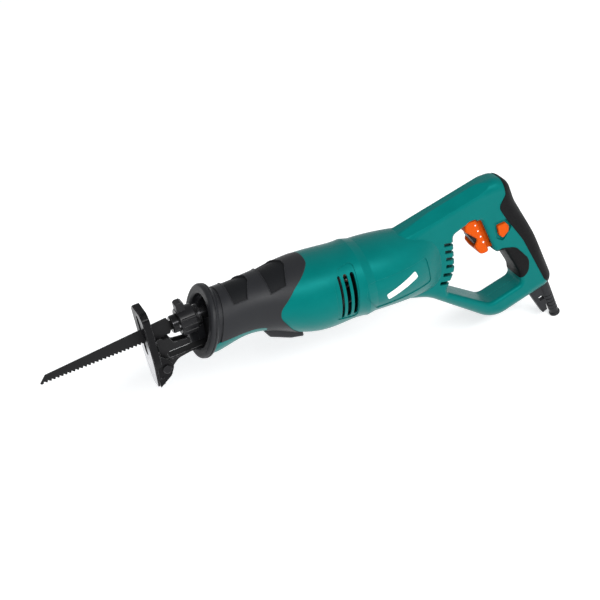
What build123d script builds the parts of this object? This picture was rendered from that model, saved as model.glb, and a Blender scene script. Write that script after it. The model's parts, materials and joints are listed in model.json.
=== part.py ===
from build123d import *
import os
from math import cos, radians, sin, tau

# A corded reciprocating saw, in millimetres. +X is forward along the plunger and
# the blade, +Y is the tool's left side and +Z is up. The origin is the mouth of
# the blade clamp, on the plunger's axis, with the plunger in mid-stroke.

os.makedirs("parts", exist_ok=True)

# ---------------------------------------------------------------- driving sizes
STROKE = 24.0              # full travel of the plunger
MOTOR_TILT = 6.0           # degrees by which the motor's axis drops to the rear
MOTOR_ORIGIN = (-190.0, 0.0, -28.5)

WALL = 2.3                 # plastic shell
BOOT_THICK = 2.5           # rubber boot over the nose
PROUD = 0.5                # how far rubber stands above the plastic
CASE_GAP = 0.4             # air between the shell and the gear housing
CASE_WALL = 3.0            # cast gear housing
HALF_HANDLE = 17.0         # half thickness of the D-handle
FACET_ANGLE = 36.0         # degrees by which the top bar's side facets slope down
FACET_DEPTH = 7.0          # depth of those facets, from the bar's square corner

RING_CENTRE = (-28.8, 0.0, -7.8)
RING_LEAN = 20.0           # degrees by which the guard ring's top leans back
RING_R = 39.0
RING_HOLE_R = 28.4
RING_THICK = 9.0
LINER_R = 27.4              # outside of the ring's liner inside the nose
RECESS_R = 25.3
RECESS_DEPTH = 16.0

PLUNGER_R = 6.5
RUN_FIT = 0.05             # radial clearance of a shaft in its bore
CLAMP_R = 9.5
COLLAR_R = 14.5
BLADE_THICK = 1.25
BLADE_TIP_X = 143.5
TOOTH_LINE_Z = -8.8
TOOTH_PITCH = 4.2
TOOTH_DEPTH = 2.4

SHOE_X = 28.2              # rear face of the shoe's plate
SHOE_THICK = 3.0
PIVOT = (17.8, -40.8)      # x, z of the shoe's hinge
PIN_R = 3.0

GEAR_TEETH = 48
PINION_TEETH = 8
MODULE = 1.0
GEAR_R = GEAR_TEETH * MODULE / 2
PINION_R = PINION_TEETH * MODULE / 2
TOOTH_W = 0.95             # tooth thickness at the pitch line, thin for backlash
GEAR_X = 57.5              # gear axle in the motor's own frame
CRANK_R = STROKE / 2
SHAFT_R = 4.0
STATOR_R = 35.0
BALLS = 8                  # balls in each bearing
FAN_BLADES = 11

TRIGGER_DIR = Vector(-0.92, 0.0, 0.392)    # unit vector, into the handle
DIAL_CENTRE = Vector(-350.6, 0, -37.4)
DIAL_NOTCHES = 20
SWITCH_FRONT = Vector(-380.2, 0, -35)      # middle of the switch's front face
SLEEVE_ROOT = Vector(-429.3, 0, -124)
SLEEVE_DIR = Vector(-0.243, 0, -0.970)     # unit vector, out of the handle
CORD_BORE_R = 3.7

# Stations along the body: x, height of the centre, half width, half height.
BODY = [
    (-20, -9.8, 30, 30),
    (-60, -11.0, 30.6, 30.6),
    (-100, -13.8, 33.4, 33.4),
    (-122, -18.9, 39, 39),
    (-140, -22.6, 42.8, 42.8),
    (-170, -26.0, 44, 44),
    (-204, -28.9, 43.6, 43.6),
    (-214, -30.0, 41.6, 41.6),
    (-240, -32.6, 41.2, 41.2),
    (-272, -37.0, 34, 40),
    (-306, -42.0, 14, 38),
]
BODY_SPLITS = (0, 6, 7, 10)      # stations where one smooth stretch meets the next

# Side outlines, each corner as x, z and its radius.
HANDLE = [
    (-226, -4, 12), (-300, 14.3, 150), (-360, 26, 60), (-396, 25.5, 20), (-402.5, -8, 60),
    (-423, -60, 200), (-440.5, -128.5, 14), (-358, -147.5, 34), (-284, -85.5, 60),
    (-226, -66, 12),
]
HANDLE_HOLE = [
    (-321.5, -18.5, 6), (-337, -13.5, 6), (-357, -13.5, 3), (-369, -59.5, 6), (-382, -61.5, 4),
    (-396.2, -97, 20), (-396.5, -113.5, 6), (-355, -122.3, 14), (-303, -84, 6),
    (-318, -62, 26),
]
BOOT_SIDE = [
    (0, 60, 0), (-153, 60, 0), (-153, 19, 4), (-128, 5.5, 40), (-103, -15, 14),
    (-118, -44, 30), (-133, -62, 0), (-133, -90, 0), (-97, -90, 0), (-92, -30, 5),
    (-80, -26.5, 10), (0, -19, 0),
]
FOOT_SIDE = [(-90, -40, 0), (-96, -51, 4), (-118, -62, 10), (-133, -66, 1), (-133, -50, 0)]
REAR_PAD_SIDE = [
    (-389, 40, 0), (-389, 7, 3), (-379, -6, 9), (-386, -22, 30), (-404, -57, 60),
    (-425, -118, 6), (-432, -126, 0), (-470, -126, 0), (-470, 40, 0),
]
FINGER_PAD_SIDE = [
    (-360, -66, 0), (-377, -57, 3), (-394, -62, 16), (-409, -84, 16), (-406, -101, 12),
    (-392, -107, 6), (-360, -103, 0),
]
VENT_PANEL_SIDE = [(-197, 7, 4), (-179, 6, 4), (-168, -7, 4), (-165, -47, 4), (-189, -54, 4)]
LABEL_SIDE = [(-204, -18, 4), (-200, -33, 4), (-213, -56, 4), (-282, -54, 4), (-280, -22, 4)]
TRIGGER_STEM = [(-348, -16, 0), (-366, -17.5, 1), (-375, -54.5, 1), (-352, -53.5, 0)]
TRIGGER_LOBES = [
    (-337.2, -22.5, 3), (-338.8, -11.4, 6.5), (-352, -11.4, 0.6), (-363.6, -57.5, 3),
    (-352.5, -57.5, 6.5), (-346.6, -45.5, 5), (-351, -37, 4),
]
TRIGGER_NOTCH = [
    (-325, -24, 0), (-335.2, -13.6, 0), (-340.5, -8.4, 5), (-350.8, -8.4, 5), (-366.2, -61, 0),
    (-325, -64, 0),
]
TRIGGER_SWEEP = [(-330, -24, 0), (-330, -8.4, 0), (-358.6, -8.4, 2), (-370, -58, 0), (-330, -64, 0)]
BUTTON_SIDE = [
    (-374.5, -27.5, 1.5), (-385, -27, 2), (-388.2, -32.5, 1.5), (-387.3, -38.5, 2),
    (-379.5, -44.3, 2), (-375.4, -39, 1.5),
]
BUTTON_POCKET = [
    (-370.5, -22, 2), (-388, -22.5, 3), (-392, -28, 3), (-391.5, -35, 4), (-379, -48.5, 3),
    (-371.5, -42, 3),
]
HOUSING_SCREWS = [
    (-284, -1), (-336, 4), (-392, 8), (-414, -92), (-392, -127), (-338, -116), (-276, -75),
]
CASE_SCREWS = [(-66, 16), (-66, -16), (-169, 17), (-169, -17)]      # x, y


# ---------------------------------------------------------------- shared helpers
def save(shape, node):
    """Write one node and report it."""
    shape.label = node
    export_step(shape, f"parts/{node}.step")
    print(node, round(shape.volume))


def side_face(points):
    """A face in the XZ plane from x, z and corner-radius triples."""
    corners = [(x, z) for x, z, _ in points]
    radii = [r for _, _, r in points]
    with BuildSketch(Plane.XZ) as sketch:
        with BuildLine():
            FilletPolyline(*corners, radius=radii, close=True)
        make_face()
    return sketch.sketch


def side_prism(face, half):
    """The face pushed out by half to both sides of the middle plane."""
    return extrude(face, half, both=True)


def plain_prism(points, half):
    """A side prism with sharp corners from x, z pairs."""
    return side_prism(side_face([(x, z, 0) for x, z in points]), half)


def cyl(radius, start, end):
    """A cylinder from one point to another."""
    axis = Vector(*end) - Vector(*start)
    plane = Plane(origin=start, z_dir=axis)
    return plane * Cylinder(radius, axis.length, align=(Align.CENTER, Align.CENTER, Align.MIN))


def tube(outer, inner, start, end):
    return cyl(outer, start, end) - cyl(inner, start, end)


def block(x0, x1, y0, y1, z0, z1):
    size = (x1 - x0, y1 - y0, z1 - z0)
    centre = ((x0 + x1) / 2, (y0 + y1) / 2, (z0 + z1) / 2)
    return Pos(*centre) * Box(*size)


def both_sides(shape):
    return [shape, mirror(shape, about=Plane.XZ)]


def group(shapes):
    """Separate solids kept side by side in one node."""
    solids = []
    for shape in shapes:
        solids.extend(shape.solids())
    return Compound(children=solids)


def in_motor(shape):
    """Place a shape modelled in the motor's own frame, x forward along its shaft."""
    return Pos(*MOTOR_ORIGIN) * Rot(0, -MOTOR_TILT, 0) * shape


def in_ring(shape):
    """Place a shape modelled about the guard ring's own axis, z out of its front."""
    return Pos(*RING_CENTRE) * Rot(0, 90 - RING_LEAN, 0) * shape


def ahead_of_ring(radius, depth):
    """The room about the ring's axis, forward of a plane that lies depth behind its front."""
    return in_ring(cyl(radius, (0, 0, -depth), (0, 0, 80)))


def biggest(shape):
    """The main solid, without any crumb that a cut left behind."""
    return max(shape.solids(), key=lambda solid: solid.volume)


# ---------------------------------------------------------------- body envelope
def body_loft(inset):
    """The long body, every radius smaller by the inset."""
    solids = []
    for first, last in zip(BODY_SPLITS, BODY_SPLITS[1:]):
        sections = []
        for x, z, half_w, half_h in BODY[first:last + 1]:
            plane = Plane(origin=(x, 0, z), x_dir=(0, 1, 0), z_dir=(-1, 0, 0))
            sections.append(plane * Ellipse(half_w - inset, half_h - inset))
        solids.append(loft(sections))
    return solids[0] + solids[1] + solids[2]


def roof_cut(inset):
    """What the two sloping facets along the handle's top bar take off it, one each side."""
    (x0, z0, _), (x1, z1, _) = HANDLE[1], HANDLE[2]
    along = Vector(x1 - x0, 0, z1 - z0).normalized()
    outward = Vector(0, sin(radians(FACET_ANGLE)), 0)
    outward += Vector(-along.Z, 0, along.X) * -cos(radians(FACET_ANGLE))
    corner = Vector(x1, HALF_HANDLE, z1) - outward * (FACET_DEPTH + inset)
    facet = Plane(origin=corner, x_dir=along, z_dir=outward)
    return both_sides(facet * Box(400, 80, 40, align=(Align.CENTER, Align.CENTER, Align.MIN)))


def handle_slab(inset):
    """The D-handle, all its walls moved inwards by the inset."""
    outer = side_prism(offset(side_face(HANDLE), -inset), HALF_HANDLE - inset)
    outer = fillet(outer.faces().filter_by(Axis.Y).edges(), 12.5 - inset)
    for cut in roof_cut(inset):
        outer -= cut
    hole = side_prism(offset(side_face(HANDLE_HOLE), inset), 40)
    slab = outer - hole
    rims = [edge for edge in slab.edges()
            if abs(abs(edge.center().Y) - (HALF_HANDLE - inset)) < 0.01
            and abs(edge.tangent_at(0.5).Y) < 0.01
            and is_on_hole(edge, inset)]
    return fillet(rims, 4.6 - inset)


def is_on_hole(edge, inset):
    """True for an edge that runs round the hand opening."""
    centre = edge.center()
    return -396 - inset < centre.X < -305 + inset and -125 - inset < centre.Z < -12.5 + inset


def envelope(inset):
    return body_loft(inset) + handle_slab(inset)


# ---------------------------------------------------------------- housing and rubber
def grip_rubber(outline, depth):
    """A rubber inlay in the handle's surface: the pocket's solid and the rubber itself."""
    zone = side_prism(side_face(outline), 40)
    floor = handle_slab(depth)
    return zone - floor, (zone & handle_slab(-PROUD)) - floor


def x_slice(shape, x0, x1):
    return shape & block(x0, x1, -60, 60, -160, 60)


def vents():
    """Three curved slots on each side of the barrel, square to the motor's axis."""
    cuts = []
    for x, width in ((1.2, 4.6), (9.2, 4.6), (16.6, 3.2)):
        slot = Plane.XZ * SlotOverall(48, width, rotation=90)
        slot = Pos(x, 60, 3.5) * extrude(slot, 30)
        cuts.extend(both_sides(in_motor(slot)))
    return cuts


def rear_vents():
    """Short slots through the wall in front of the hand opening."""
    cuts = []
    for index in range(6):
        z = -27 - 9.0 * index
        lean = max(0.0, -52 - z) * 0.55
        slit = Pos(-317 + lean, 11.7, z) * Rot(0, -14, 0) * Box(18, 12.6, 4.2)
        cuts.extend(both_sides(slit))
    return cuts


def switch_box(clearance):
    """The switch's block, its front face square to the trigger's travel."""
    front = Plane(origin=SWITCH_FRONT, x_dir=(0, 1, 0), z_dir=TRIGGER_DIR)
    return front * Box(12 + 2 * clearance, 36 + 2 * clearance, 22,
                       align=(Align.CENTER, Align.CENTER, Align.MIN))


def inner_ribs():
    """Ribs and bosses that hold the motor, switch, button and gear housing in the shell."""
    motor_ribs = in_motor(tube(70, STATOR_R + 0.1, (-20, 0, 0), (-17, 0, 0)))
    motor_ribs += in_motor(tube(70, STATOR_R + 0.1, (-62, 0, 0), (-59, 0, 0)))
    motor_ribs += in_motor(tube(70, 37.4, (-6.5, 0, 0), (-5.3, 0, 0)))
    motor_ribs += in_motor(tube(70, 37.4, (-3.1, 0, 0), (-1.9, 0, 0)))
    motor_ribs += in_motor(tube(70, 10.05, (-105, 0, 0), (-98, 0, 0)))
    brush_seat = block(-92, -78, 26, 40, -7, 7) - block(-90.1, -79.9, 20, 27.1, -5.1, 5.1)
    for seat in both_sides(brush_seat):
        motor_ribs += in_motor(seat)
    ribs = motor_ribs & envelope(WALL - 0.3)
    ribs += x_slice(body_loft(WALL - 0.3), -166, -163) - body_loft(BOOT_THICK + WALL + CASE_GAP)

    handle_ribs = side_prism(offset(side_face(BUTTON_POCKET), 2.5), 30) & block(-420, -340, 10.5, 30, -80, 0)
    switch_rib = Plane(origin=SWITCH_FRONT + TRIGGER_DIR * 15, x_dir=(0, 1, 0), z_dir=TRIGGER_DIR)
    handle_ribs += switch_rib * Box(40, 26, 3) - switch_box(0.1)
    for x, z in HOUSING_SCREWS:
        handle_ribs += cyl(5.0, (x, -40, z), (x, 40, z))
    return ribs + (handle_ribs & envelope(WALL - 0.3))


def housing():
    """Both halves of the clamshell, with their ribs, bosses, vents and pockets."""
    outer = envelope(0)
    boot_side = side_prism(side_face(BOOT_SIDE), 60)
    boot_room = boot_side - body_loft(BOOT_THICK)
    keel = block(-98, -20, -13, 13, -41.5, -20) & body_loft(0)
    rear_room, rear_pad = grip_rubber(REAR_PAD_SIDE, 1.0)
    finger_room, finger_pad = grip_rubber(FINGER_PAD_SIDE, 1.0)

    cavity = x_slice(envelope(WALL), -460, -156) + x_slice(body_loft(BOOT_THICK + WALL), -156.01, 0)
    shell = outer - cavity + inner_ribs()
    shell -= boot_room - keel
    shell -= rear_room
    shell -= finger_room
    for cut in vents() + rear_vents():
        shell -= cut
    recesses = side_prism(side_face(VENT_PANEL_SIDE), 60) + side_prism(side_face(LABEL_SIDE), 60)
    shell -= recesses - body_loft(0.8)
    shell -= ahead_of_ring(90, RING_THICK)
    shell -= ahead_of_ring(LINER_R + 0.05, RECESS_DEPTH)
    shell -= block(-112, 0, -6, 6, -36.2, -31.9)
    shell -= cyl(2.6, (-60, 0, -60), (-60, 0, -30))
    shell -= cyl(4.4, (-60, 0, -60), (-60, 0, -38.3))
    shell -= trigger_opening()
    shell -= side_prism(side_face(BUTTON_POCKET), 30) & block(-420, -340, 14.2, 30, -80, 0)
    shell -= side_prism(offset(side_face(BUTTON_SIDE), 0.3), 30) & block(-420, -340, 0, 30, -80, 0)
    shell -= sleeve_socket()
    for x, z in HOUSING_SCREWS:
        shell -= cyl(1.95, (x, -40, z), (x, 9, z))
        shell -= cyl(3.6, (x, -40, z), (x, -8.9, z))
    left = shell & block(-470, 0, 0.1, 70, -160, 60)
    right = shell & block(-470, 0, -70, -0.1, -160, 60)
    left = biggest(left)
    right = biggest(right)
    save(left, "left_housing_shell")
    save(right, "right_housing_shell")
    save(biggest(rear_pad - sleeve_socket()), "rear_grip_pad")
    save(biggest(finger_pad), "finger_grip_pad")
    save(biggest(boot(boot_side, keel) - left - right), "front_boot")


def boot(boot_side, keel):
    """The rubber boot over the nose, with its sunk panels, groove and lower foot."""
    rubber = (body_loft(-PROUD) - body_loft(BOOT_THICK)) & boot_side
    foot = side_prism(side_face(FOOT_SIDE), 17) & block(-134, -90, -60, 60, -90, -30)
    rims = [e for e in foot.edges() if abs(abs(e.center().Y) - 17) < 0.01 and e.center().Z < -45]
    foot = fillet(rims, 4)
    rubber += foot - body_loft(BOOT_THICK)
    rubber -= keel
    for front_x, rear_x, reach in ((-64, -79, 23), (-104, -121, 27)):
        panel = Polyline((front_x, -reach), (rear_x, -reach), (rear_x - 10, -4),
                         (rear_x - 10, 4), (rear_x, reach), (front_x, reach), close=True)
        panel = extrude(make_face(panel), 60)
        rubber -= panel - body_loft(0.9)
    rubber -= ahead_of_ring(90, RING_THICK)
    rubber -= ahead_of_ring(LINER_R + 0.05, RECESS_DEPTH)
    groove = in_ring(tube(50, 27, (0, 0, -RING_THICK - 6), (0, 0, -RING_THICK - 3.6)))
    rubber -= groove - body_loft(0.9)
    return biggest(rubber)


def guard_ring():
    """The finger guard: a thick rounded flange round the nose's mouth."""
    ring = tube(RING_R, RING_HOLE_R, (0, 0, -RING_THICK + 0.05), (0, 0, 0))
    rims = [e for e in ring.edges() if e.geom_type == GeomType.CIRCLE]
    ring = fillet([e for e in rims if e.radius > RING_R - 1], 3.6)
    ring = fillet([e for e in ring.edges() if e.geom_type == GeomType.CIRCLE
                   and abs(e.radius - RING_HOLE_R) < 0.1 and e.center().Z > -1], 2.4)
    groove = tube(RING_R + 5, RING_R - 0.8, (0, 0, -5.4), (0, 0, -4.2))
    liner = tube(LINER_R, RECESS_R, (0, 0, -RECESS_DEPTH + 0.1), (0, 0, -RING_THICK + 1))
    web = tube(RING_HOLE_R + 0.1, RECESS_R, (0, 0, -RING_THICK + 0.05), (0, 0, -RING_THICK + 1.5))
    ring = in_ring(ring - groove + liner + web)
    save(biggest(ring - block(-60, 10, -6.2, 6.2, -36.6, -32.6)), "guard_ring")


# ---------------------------------------------------------------- gear housing
def gear_housing():
    """The cast gear housing, split level with the plunger into a bowl and a cover."""
    inset = BOOT_THICK + WALL + CASE_GAP
    case = body_loft(inset)
    rear_cut = in_motor(block(-300, 14.5, -70, 70, -90, 90))
    case = x_slice(case, -200, 0) - rear_cut
    hollow = body_loft(inset + CASE_WALL)
    cavity = x_slice(hollow, -170, -103.2) - in_motor(block(-300, 27.5, -70, 70, -90, 90))
    case -= cavity
    case -= x_slice(hollow, -94, -76)
    case += in_motor(cyl(14, (GEAR_X, 0, -50), (GEAR_X, 0, -4.6))) & body_loft(inset + 0.1)
    case -= in_motor(cyl(11, (GEAR_X, 0, -23), (GEAR_X, 0, 0)))
    case -= in_motor(cyl(11, (16.5, 0, 0), (26, 0, 0)))
    case -= in_motor(cyl(7, (10, 0, 0), (30, 0, 0)))
    case -= ahead_of_ring(90, RECESS_DEPTH + 0.4)
    case -= cyl(10, (-72, 0, 0), (-20, 0, 0))
    case -= cyl(10, (-103.3, 0, 0), (-94.5, 0, 0))
    case -= cyl(7.2, (-110, 0, 0), (-60, 0, 0))
    case -= block(-112, 0, -6, 6, -60, -31.9)
    for x, y in CASE_SCREWS:
        case -= cyl(1.95, (x, y, -12), (x, y, 20))
        case -= cyl(3.6, (x, y, 3), (x, y, 40))
    lower = case & block(-300, 0, -70, 70, -100, -0.03)
    upper = case & block(-300, 0, -70, 70, 0.03, 60)
    save(biggest(lower), "gear_housing")
    save(biggest(upper), "gear_housing_cover")


def screw(shank_r, length, head_r, head_h):
    """A pan-head screw whose head sits on z = 0 and whose shank points down."""
    body = cyl(shank_r, (0, 0, -length), (0, 0, 0)) + cyl(head_r, (0, 0, 0), (0, 0, head_h))
    socket = Pos(0, 0, head_h) * extrude(RegularPolygon(head_r * 0.42, 6), -head_h * 0.6)
    return body - socket


def screws():
    upright = [Pos(x, y, 3) * screw(1.9, 14.8, 3.4, 2.6) for x, y in CASE_SCREWS]
    save(group(upright), "gear_housing_screws")
    across = [Pos(x, -8.9, z) * Rot(90, 0, 0) * screw(1.9, 17.5, 3.4, 2.6)
              for x, z in HOUSING_SCREWS]
    save(group(across), "housing_screws")
    save(Pos(-60, 0, -38.3) * Rot(180, 0, 0) * screw(2.5, 2.2, 4.2, 1.9), "shoe_lock_screw")


def ball_bearing(axis_start, axis_end, inner_r, outer_r):
    """Outer ring, inner ring and a ring of balls as separate solids."""
    start, end = Vector(*axis_start), Vector(*axis_end)
    middle = (start + end) * 0.5
    third = (outer_r - inner_r) / 3
    pitch_r = (outer_r + inner_r) / 2
    outer = tube(outer_r, outer_r - third, start, end)
    inner = tube(inner_r + third, inner_r, start, end)
    plane = Plane(origin=middle, z_dir=end - start)
    ball_r = third / 2 - 0.02
    balls = []
    for k in range(BALLS):
        angle = tau * k / BALLS
        balls.append(plane * Pos(pitch_r * cos(angle), pitch_r * sin(angle), 0) * Sphere(ball_r))
    return [outer, inner] + balls


# ---------------------------------------------------------------- motor
def motor():
    """Stator, brushes and bearings, then everything that turns on the armature shaft."""
    poles = tube(STATOR_R, 23.2, (-65, 0, 0), (-15, 0, 0)) & block(-65, -15, -17, 17, -40, 40)
    save(in_motor(tube(STATOR_R, 29.5, (-65, 0, 0), (-15, 0, 0)) + poles), "stator_core")
    coil_room = block(-70, -9, 17.5, 40, -13, 13) + block(-70, -9, -40, -17.5, -13, 13)
    sides = tube(29.2, 24, (-70, 0, 0), (-9, 0, 0)) & coil_room
    heads = tube(32, 25, (-72, 0, 0), (-66, 0, 0)) + tube(32, 25, (-14, 0, 0), (-8, 0, 0))
    save(in_motor(heads + sides), "stator_windings")
    save(in_motor(tube(39.0, 24, (-5.2, 0, 0), (-3.2, 0, 0))), "air_baffle")
    front = ball_bearing((17, 0, 0), (26, 0, 0), SHAFT_R + RUN_FIT, 11)
    rear = ball_bearing((-105, 0, 0), (-98, 0, 0), SHAFT_R + RUN_FIT, 10)
    save(group([in_motor(s) for s in front]), "front_motor_bearing")
    save(group([in_motor(s) for s in rear]), "rear_motor_bearing")

    holder = block(-90, -80, 14, 27, -5, 5) - block(-88.6, -81.4, 10, 26, -3.6, 3.6)
    brush = block(-88.4, -81.6, 12.1, 22, -3.4, 3.4)
    spring = tube(3.0, 2.2, (-85, 22, 0), (-85, 25.9, 0))
    save(group([in_motor(s) for s in both_sides(holder)]), "brush_holders")
    save(group([in_motor(s) for s in both_sides(brush)]), "carbon_brushes")
    save(group([in_motor(s) for s in both_sides(spring)]), "brush_springs")

    shaft = cyl(SHAFT_R, (-106, 0, 0), (28.5, 0, 0)) + cyl(2.4, (28, 0, 0), (38.2, 0, 0))
    save(in_motor(shaft), "armature_shaft")
    core = tube(22.6, SHAFT_R, (-65, 0, 0), (-15, 0, 0))
    for k in range(12):
        core -= Rot(30 * k, 0, 0) * block(-66, -14, -1.3, 1.3, 15, 30)
    save(in_motor(core), "armature_core")
    rear_head = tube(19, SHAFT_R, (-73, 0, 0), (-65, 0, 0))
    front_head = tube(19, SHAFT_R, (-15, 0, 0), (-7, 0, 0))
    save(group([in_motor(rear_head), in_motor(front_head)]), "armature_windings")
    bars = tube(12, SHAFT_R, (-93, 0, 0), (-77, 0, 0))
    for k in range(24):
        bars -= Rot(15 * k, 0, 0) * block(-93.5, -78, -0.3, 0.3, 10.6, 13)
    save(in_motor(bars), "commutator")
    fan = tube(34, SHAFT_R, (11, 0, 0), (12.8, 0, 0)) + tube(9, SHAFT_R, (-1, 0, 0), (12, 0, 0))
    blade_room = tube(34, 8, (0.5, 0, 0), (11.5, 0, 0))
    for k in range(FAN_BLADES):
        blade = Pos(0, 0, 21) * Rot(0, 0, 25) * Box(22.2, 1.5, 25)
        fan += (Rot(360 / FAN_BLADES * k, 0, 0) * blade) & blade_room
    save(in_motor(fan), "cooling_fan")
    save(in_motor(pinion()), "motor_pinion")


def pinion():
    """A straight-cut pinion with thin teeth and plenty of backlash."""
    root_r = PINION_R - 1.2 * MODULE
    blank = tube(root_r, 2.4, (29.5, 0, 0), (37.5, 0, 0))
    half_tip = TOOTH_W * 0.32
    half_root = TOOTH_W * 0.62
    outline = Polyline((-half_root, root_r - 0.3), (half_root, root_r - 0.3),
                       (half_tip, PINION_R + MODULE), (-half_tip, PINION_R + MODULE), close=True)
    tooth = Plane(origin=(29.5, 0, 0), x_dir=(0, 1, 0), z_dir=(1, 0, 0)) * make_face(outline)
    tooth = extrude(tooth, 8)
    for k in range(PINION_TEETH):
        blank += Rot(360 / PINION_TEETH * k, 0, 0) * tooth
    return blank


# ---------------------------------------------------------------- crank gear
def crank():
    """The face gear with its axle, bearing and crank pin, in the motor's frame."""
    root_z = PINION_R + 1.3 * MODULE
    tip_z = PINION_R - 0.9 * MODULE
    top_z = root_z + 4
    inner, outer = GEAR_R - 4, GEAR_R + 4
    disc = cyl(outer, (0, 0, root_z), (0, 0, top_z)) + cyl(9, (0, 0, -4), (0, 0, root_z))
    outline = Polyline((-TOOTH_W * 0.32, tip_z), (TOOTH_W * 0.32, tip_z),
                       (TOOTH_W * 0.62, root_z + 0.2), (-TOOTH_W * 0.62, root_z + 0.2), close=True)
    tooth = Plane(origin=(inner, 0, 0), x_dir=(0, 1, 0), z_dir=(1, 0, 0)) * make_face(outline)
    tooth = extrude(tooth, outer - inner - 0.4)
    teeth = [Rot(0, 0, 360 / GEAR_TEETH * (k + 0.5)) * tooth for k in range(GEAR_TEETH)]
    gear = disc + teeth
    weight = tube(23, 11, (0, 0, top_z - 0.1), (0, 0, top_z + 2)) & block(-24, 24, -24, -2, 0, 20)
    gear += weight
    gear -= cyl(5, (0, 0, -10), (0, 0, 20))
    gear -= cyl(3, (0, CRANK_R, 0), (0, CRANK_R, 20))
    place = Pos(GEAR_X, 0, 0)
    save(in_motor(place * gear), "crank_gear")
    save(in_motor(place * cyl(5, (0, 0, -22.5), (0, 0, top_z))), "crank_axle")
    pin = cyl(3, (0, CRANK_R, root_z), (0, CRANK_R, top_z)) + cyl(
        4, (0, CRANK_R, top_z), (0, CRANK_R, top_z + 3.2))
    save(in_motor(place * pin), "crank_pin")
    bearings = ball_bearing((GEAR_X, 0, -22.6), (GEAR_X, 0, -14.6), 5 + RUN_FIT, 11)
    bearings += ball_bearing((GEAR_X, 0, -13), (GEAR_X, 0, -5), 5 + RUN_FIT, 11)
    save(group([in_motor(s) for s in bearings]), "crank_bearings")


# ---------------------------------------------------------------- plunger
def plunger():
    """The reciprocating rod with its yoke, bushings, seal and blade clamp."""
    rod = cyl(PLUNGER_R, (-126, 0, 0), (-20, 0, 0))
    save(rod, "plunger_rod")
    yoke = block(-141, -125, -18, 18, -8, 2) + block(-127, -118, -8.6, 8.6, -8, 8)
    yoke = fillet(yoke.edges().filter_by(Axis.Z), 1.5)
    yoke -= Pos(-133.4, 0, 0) * extrude(SlotOverall(32.8, 8.6, rotation=90), 20, both=True)
    yoke -= cyl(PLUNGER_R, (-126, 0, 0), (-100, 0, 0))
    save(yoke, "plunger_yoke")
    save(tube(10, PLUNGER_R + RUN_FIT, (-72, 0, 0), (-54, 0, 0)), "front_bushing")
    save(tube(10, PLUNGER_R + RUN_FIT, (-103, 0, 0), (-94.5, 0, 0)), "rear_bushing")
    save(tube(10, PLUNGER_R + 0.1, (-53.8, 0, 0), (-50.8, 0, 0)), "plunger_seal")

    clamp = cyl(CLAMP_R, (-31, 0, 0), (0, 0, 0)) + cyl(11.6, (-31, 0, 0), (-28.6, 0, 0))
    clamp -= cyl(PLUNGER_R, (-40, 0, 0), (-20, 0, 0))
    clamp -= block(-18.6, 1, -0.75, 0.75, -5.4, 5.4)
    clamp -= cyl(2.0, (-9, 0.7, 0), (-9, 20, 0))
    clamp = chamfer([e for e in clamp.edges() if e.geom_type == GeomType.CIRCLE
                     and abs(e.center().X) < 0.01], 1.2)
    save(clamp, "blade_clamp_body")
    save(cyl(1.95, (-9, -0.6, 0), (-9, 9.3, 0)), "blade_lock_pin")
    coil = [Pos(-27.9 + 1.05 * k, 0, 0) * Rot(0, 90, 0) * Torus(10.6, 0.5) for k in range(2)]
    save(group(coil), "clamp_spring")
    save(saw_blade(), "saw_blade")
    save(clamp_collar(), "clamp_collar")


def saw_blade():
    """A tapered wood-cutting blade, teeth down, with its notched tang in the clamp."""
    heel_x, back_heel_z, back_tip_z = 26.0, 8.6, 0.2
    points = [(-18, -5), (-18, 5), (0.6, 5), (3.0, 10.4), (heel_x, back_heel_z),
              (BLADE_TIP_X - 7, back_tip_z), (BLADE_TIP_X, TOOTH_LINE_Z + 1.2),
              (BLADE_TIP_X - 1.2, TOOTH_LINE_Z)]
    count = int((BLADE_TIP_X - 4 - heel_x) / TOOTH_PITCH)
    for k in range(count):
        x = BLADE_TIP_X - 3.2 - TOOTH_PITCH * k
        points += [(x, TOOTH_LINE_Z), (x - 1.0, TOOTH_LINE_Z + TOOTH_DEPTH),
                   (x - TOOTH_PITCH + 1.1, TOOTH_LINE_Z + 0.5)]
    points += [(heel_x - 3, TOOTH_LINE_Z), (3.0, TOOTH_LINE_Z), (0.6, -5)]
    blade = plain_prism(points, BLADE_THICK / 2)
    return blade - cyl(2.0, (-9, -2, 0), (-9, 2, 0))


def clamp_collar():
    """The ribbed twist collar with a thumb lug on top."""
    collar = cyl(COLLAR_R, (-26, 0, 0), (-8, 0, 0))
    collar = fillet(collar.edges().filter_by(GeomType.CIRCLE), 1.2)
    lug = block(-17.5, -8.6, -5.2, 5.2, 10, 24.2)
    lug = chamfer(lug.edges().filter_by(Axis.Y).sort_by(Axis.Z)[-2:], 2.5)
    lug = fillet(lug.edges().filter_by(Axis.X).sort_by(Axis.Z)[-2:], 1.5)
    collar += lug
    for k in range(9):
        rib = cyl(1.5, (-25, 0, COLLAR_R - 0.3), (-10, 0, COLLAR_R - 0.3))
        collar += Rot(60 + 30 * k, 0, 0) * rib
    return collar - cyl(CLAMP_R + 0.08, (-30, 0, 0), (0, 0, 0))


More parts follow.
